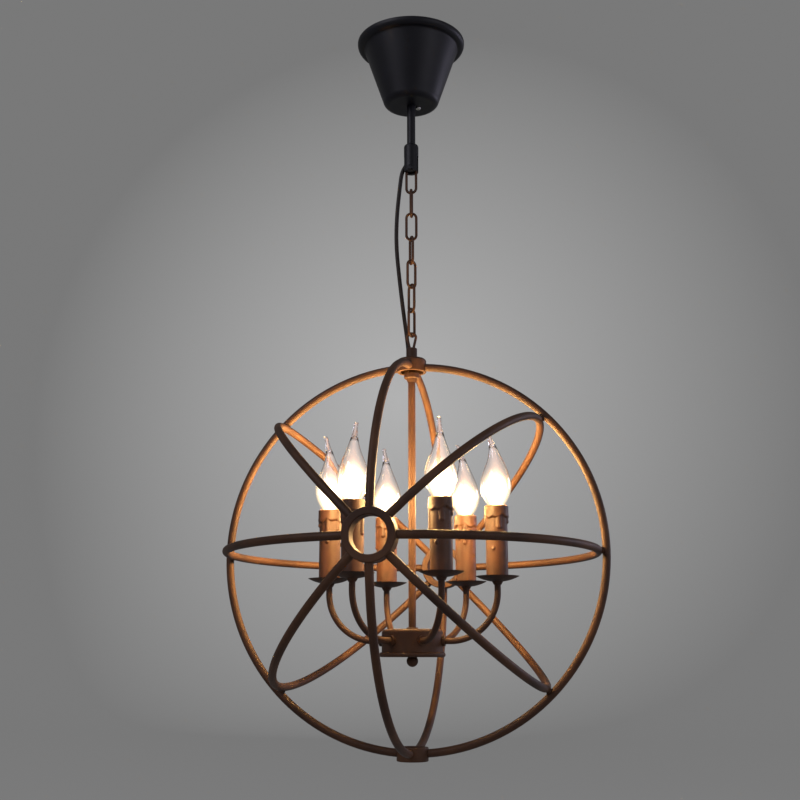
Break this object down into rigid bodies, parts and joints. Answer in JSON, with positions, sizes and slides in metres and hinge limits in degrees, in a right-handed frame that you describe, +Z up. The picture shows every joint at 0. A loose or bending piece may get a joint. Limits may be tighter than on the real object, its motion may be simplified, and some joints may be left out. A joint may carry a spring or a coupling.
{
  "type": "orb chandelier",
  "caption": "Orb chandelier of crossed round hoops round candle arms, hung by a link chain from a conical ceiling canopy.",
  "frame": {"origin": "on the ceiling, midway between the bracket's two screw holes, in the axis of the stem", "axes": "+Z up, away from the light; -Y the front; +X to the right seen from the front"},
  "size_m": [0.5, 0.482, 0.9707],
  "materials": {
    "brown_paint": "dark brown satin paint",
    "black_paint": "black satin paint",
    "bare_steel": "zinc-plated steel",
    "bright_screw": "plated screw",
    "terminal_plastic": "white moulded plastic",
    "holder_plastic": "dark moulded plastic",
    "sleeve_paint": "brown painted candle sleeve",
    "cord_sheath": "dark brown sheath",
    "bulb_glass": "clear glass",
    "cap_metal": "rolled screw cap"
  },
  "bodies": {
    "ceiling": {"ceiling_bracket": "bare_steel", "terminal_block": "terminal_plastic", "stem": "black_paint", "stem_nuts": "bare_steel", "hanger": "black_paint", "hanger_pin": "bright_screw", "flex_cord": "cord_sheath"},
    "canopy": {"canopy": "black_paint", "canopy_bush": "bare_steel", "canopy_screw": "bright_screw"},
    "link_1": {"chain_link_1": "brown_paint"},
    "link_2": {"chain_link_2": "brown_paint"},
    "link_3": {"chain_link_3": "brown_paint"},
    "link_4": {"chain_link_4": "brown_paint"},
    "link_5": {"chain_link_5": "brown_paint"},
    "link_6": {"chain_link_6": "brown_paint"},
    "link_7": {"chain_link_7": "brown_paint"},
    "orb": {"orb_loop": "brown_paint", "loop_locknut": "bare_steel", "top_collar": "brown_paint", "bottom_collar": "brown_paint", "front_collar": "brown_paint", "back_collar": "brown_paint", "frontal_hoop_left": "brown_paint", "frontal_hoop_right": "brown_paint", "horizontal_hoop_left": "brown_paint", "horizontal_hoop_right": "brown_paint", "vertical_hoops_front": "brown_paint", "vertical_hoops_back": "brown_paint", "diagonal_hoops_rising": "brown_paint", "diagonal_hoops_falling": "brown_paint", "column_nut": "brown_paint", "column": "brown_paint", "hub_shell": "brown_paint", "hub_cover": "brown_paint", "finial": "brown_paint", "arm_1": "brown_paint", "arm_2": "brown_paint", "arm_3": "brown_paint", "arm_4": "brown_paint", "arm_5": "brown_paint", "arm_6": "brown_paint", "arm_bosses": "brown_paint", "bobeches": "brown_paint", "cup_seats": "brown_paint", "lampholders": "holder_plastic", "candle_sleeves": "sleeve_paint"},
    "bulb_1": {"bulb_glass_1": "bulb_glass", "bulb_cap_1": "cap_metal"},
    "bulb_2": {"bulb_glass_2": "bulb_glass", "bulb_cap_2": "cap_metal"},
    "bulb_3": {"bulb_glass_3": "bulb_glass", "bulb_cap_3": "cap_metal"},
    "bulb_4": {"bulb_glass_4": "bulb_glass", "bulb_cap_4": "cap_metal"},
    "bulb_5": {"bulb_glass_5": "bulb_glass", "bulb_cap_5": "cap_metal"},
    "bulb_6": {"bulb_glass_6": "bulb_glass", "bulb_cap_6": "cap_metal"}
  },
  "joints": [
    {"name": "canopy_slide", "type": "slide", "parent": "ceiling", "child": "canopy", "axis": [0, 0, 1], "range_m": [-0.0558, 0]},
    {"name": "link_1_swing", "type": "hinge", "parent": "ceiling", "child": "link_1", "pos_m": [0, 0, -0.1906], "axis": [0, 1, 0], "range_deg": [-15, 15], "deforming": ["flex_cord"]},
    {"name": "link_2_swing", "type": "hinge", "parent": "link_1", "child": "link_2", "pos_m": [0, 0, -0.2244], "axis": [1, 0, 0], "range_deg": [-15, 15], "deforming": ["flex_cord"]},
    {"name": "link_3_swing", "type": "hinge", "parent": "link_2", "child": "link_3", "pos_m": [0, 0, -0.2584], "axis": [-0.0872, 0.9962, 0], "range_deg": [-15, 15], "deforming": ["flex_cord"]},
    {"name": "link_4_swing", "type": "hinge", "parent": "link_3", "child": "link_4", "pos_m": [0, 0, -0.2924], "axis": [0.9816, 0.1908, 0], "range_deg": [-15, 15], "deforming": ["flex_cord"]},
    {"name": "link_5_swing", "type": "hinge", "parent": "link_4", "child": "link_5", "pos_m": [0, 0, -0.3264], "axis": [-0.4695, 0.8829, 0], "range_deg": [-15, 15], "deforming": ["flex_cord"]},
    {"name": "link_6_swing", "type": "hinge", "parent": "link_5", "child": "link_6", "pos_m": [0, 0, -0.3604], "axis": [0.6293, 0.7771, 0], "range_deg": [-15, 15], "deforming": ["flex_cord"]},
    {"name": "link_7_swing", "type": "hinge", "parent": "link_6", "child": "link_7", "pos_m": [0, 0, -0.3944], "axis": [-0.6947, 0.7193, 0], "range_deg": [-15, 15], "deforming": ["flex_cord"]},
    {"name": "orb_swing", "type": "hinge", "parent": "link_7", "child": "orb", "pos_m": [0, 0, -0.4284], "axis": [0.3907, 0.9205, 0], "range_deg": [-15, 15], "deforming": ["flex_cord"]},
    {"name": "bulb_1_out", "type": "slide", "parent": "orb", "child": "bulb_1", "axis": [0, 0, 1], "range_m": [0, 0.04]},
    {"name": "bulb_2_out", "type": "slide", "parent": "orb", "child": "bulb_2", "axis": [0, 0, 1], "range_m": [0, 0.04]},
    {"name": "bulb_3_out", "type": "slide", "parent": "orb", "child": "bulb_3", "axis": [0, 0, 1], "range_m": [0, 0.04]},
    {"name": "bulb_4_out", "type": "slide", "parent": "orb", "child": "bulb_4", "axis": [0, 0, 1], "range_m": [0, 0.04]},
    {"name": "bulb_5_out", "type": "slide", "parent": "orb", "child": "bulb_5", "axis": [0, 0, 1], "range_m": [0, 0.04]},
    {"name": "bulb_6_out", "type": "slide", "parent": "orb", "child": "bulb_6", "axis": [0, 0, 1], "range_m": [0, 0.04]}
  ]
}
